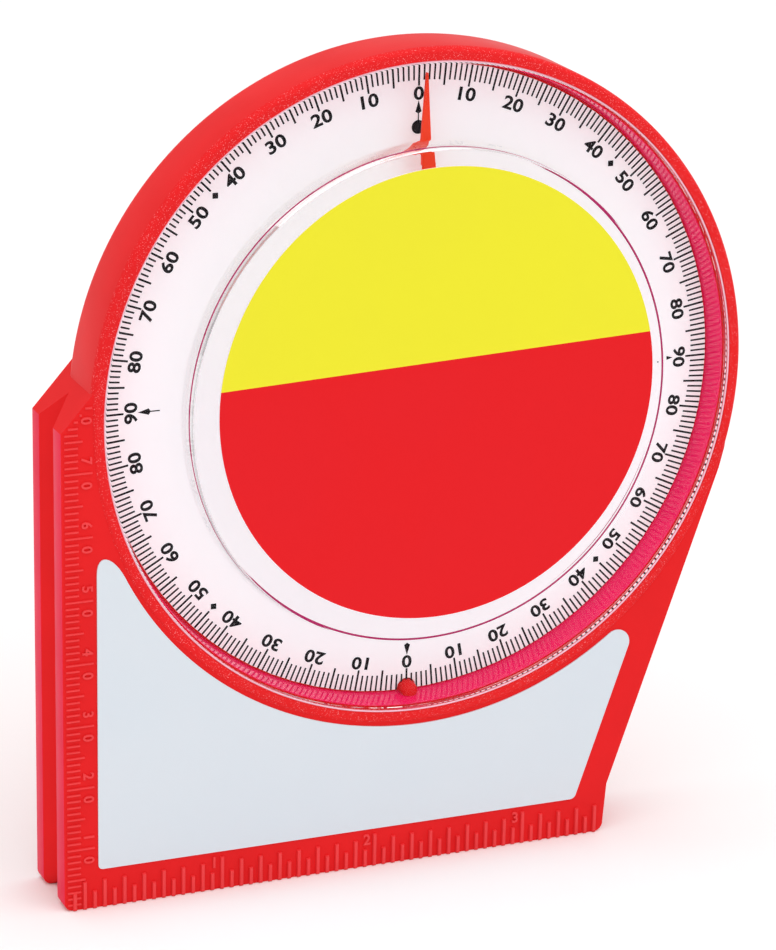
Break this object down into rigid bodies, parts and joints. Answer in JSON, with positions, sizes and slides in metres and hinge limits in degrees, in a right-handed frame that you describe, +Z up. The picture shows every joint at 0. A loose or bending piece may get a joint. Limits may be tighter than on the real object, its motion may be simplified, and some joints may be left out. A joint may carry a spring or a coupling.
{
  "type": "magnetic angle finder",
  "caption": "Gravity angle finder: a weighted pointer swings in a round dial over a quadrant scale, in a flanged plastic body with ruled straight edges and magnets in its base.",
  "frame": {"origin": "under the middle of the bounding box, on the plane that the base stands on", "axes": "+X to the right across the face, +Y from the face into the body, +Z up from the base to the top of the dial"},
  "size_m": [0.1114, 0.0184, 0.1301],
  "materials": {
    "red_body": "moulded red plastic, satin, with a fine grain",
    "red_cover": "moulded red plastic, satin",
    "pale_sheet": "smooth printed film, satin",
    "white_card": "white card with a black printed scale",
    "clear_plastic": "clear moulded plastic, polished",
    "disc_print": "printed film, yellow above and red below",
    "bush_brass": "turned brass",
    "axle_steel": "ground steel",
    "pointer_orange": "moulded orange-red plastic",
    "weight_zinc": "cast zinc, dull",
    "rivet_brass": "brass, plain",
    "washer_nylon": "natural nylon",
    "strip_steel": "plain rolled steel",
    "screw_steel": "zinc plated steel",
    "magnet_ferrite": "pressed ferrite, dark grey, matt"
  },
  "bodies": {
    "body": {"housing": "red_body", "rear_cover": "red_cover", "base_cover": "red_cover", "front_sheet": "pale_sheet", "dial_card": "white_card", "clear_cover": "clear_plastic", "cover_disc": "disc_print", "front_bush": "bush_brass", "rear_bush": "bush_brass", "magnet_strip": "strip_steel", "cover_screw_1": "screw_steel", "cover_screw_2": "screw_steel", "cover_screw_3": "screw_steel", "cover_screw_4": "screw_steel", "cover_screw_5": "screw_steel", "base_magnet_1": "magnet_ferrite", "base_magnet_2": "magnet_ferrite", "base_magnet_3": "magnet_ferrite"},
    "pointer_unit": {"pointer": "pointer_orange", "counterweight": "weight_zinc", "weight_rivet_1": "rivet_brass", "weight_rivet_2": "rivet_brass", "front_washer": "washer_nylon", "rear_washer": "washer_nylon", "pivot_axle": "axle_steel"}
  },
  "joints": [
    {"name": "pointer_swing", "type": "hinge", "parent": "body", "child": "pointer_unit", "pos_m": [0.0023, 0, 0.0767], "axis": [0, 1, 0], "continuous": true}
  ]
}
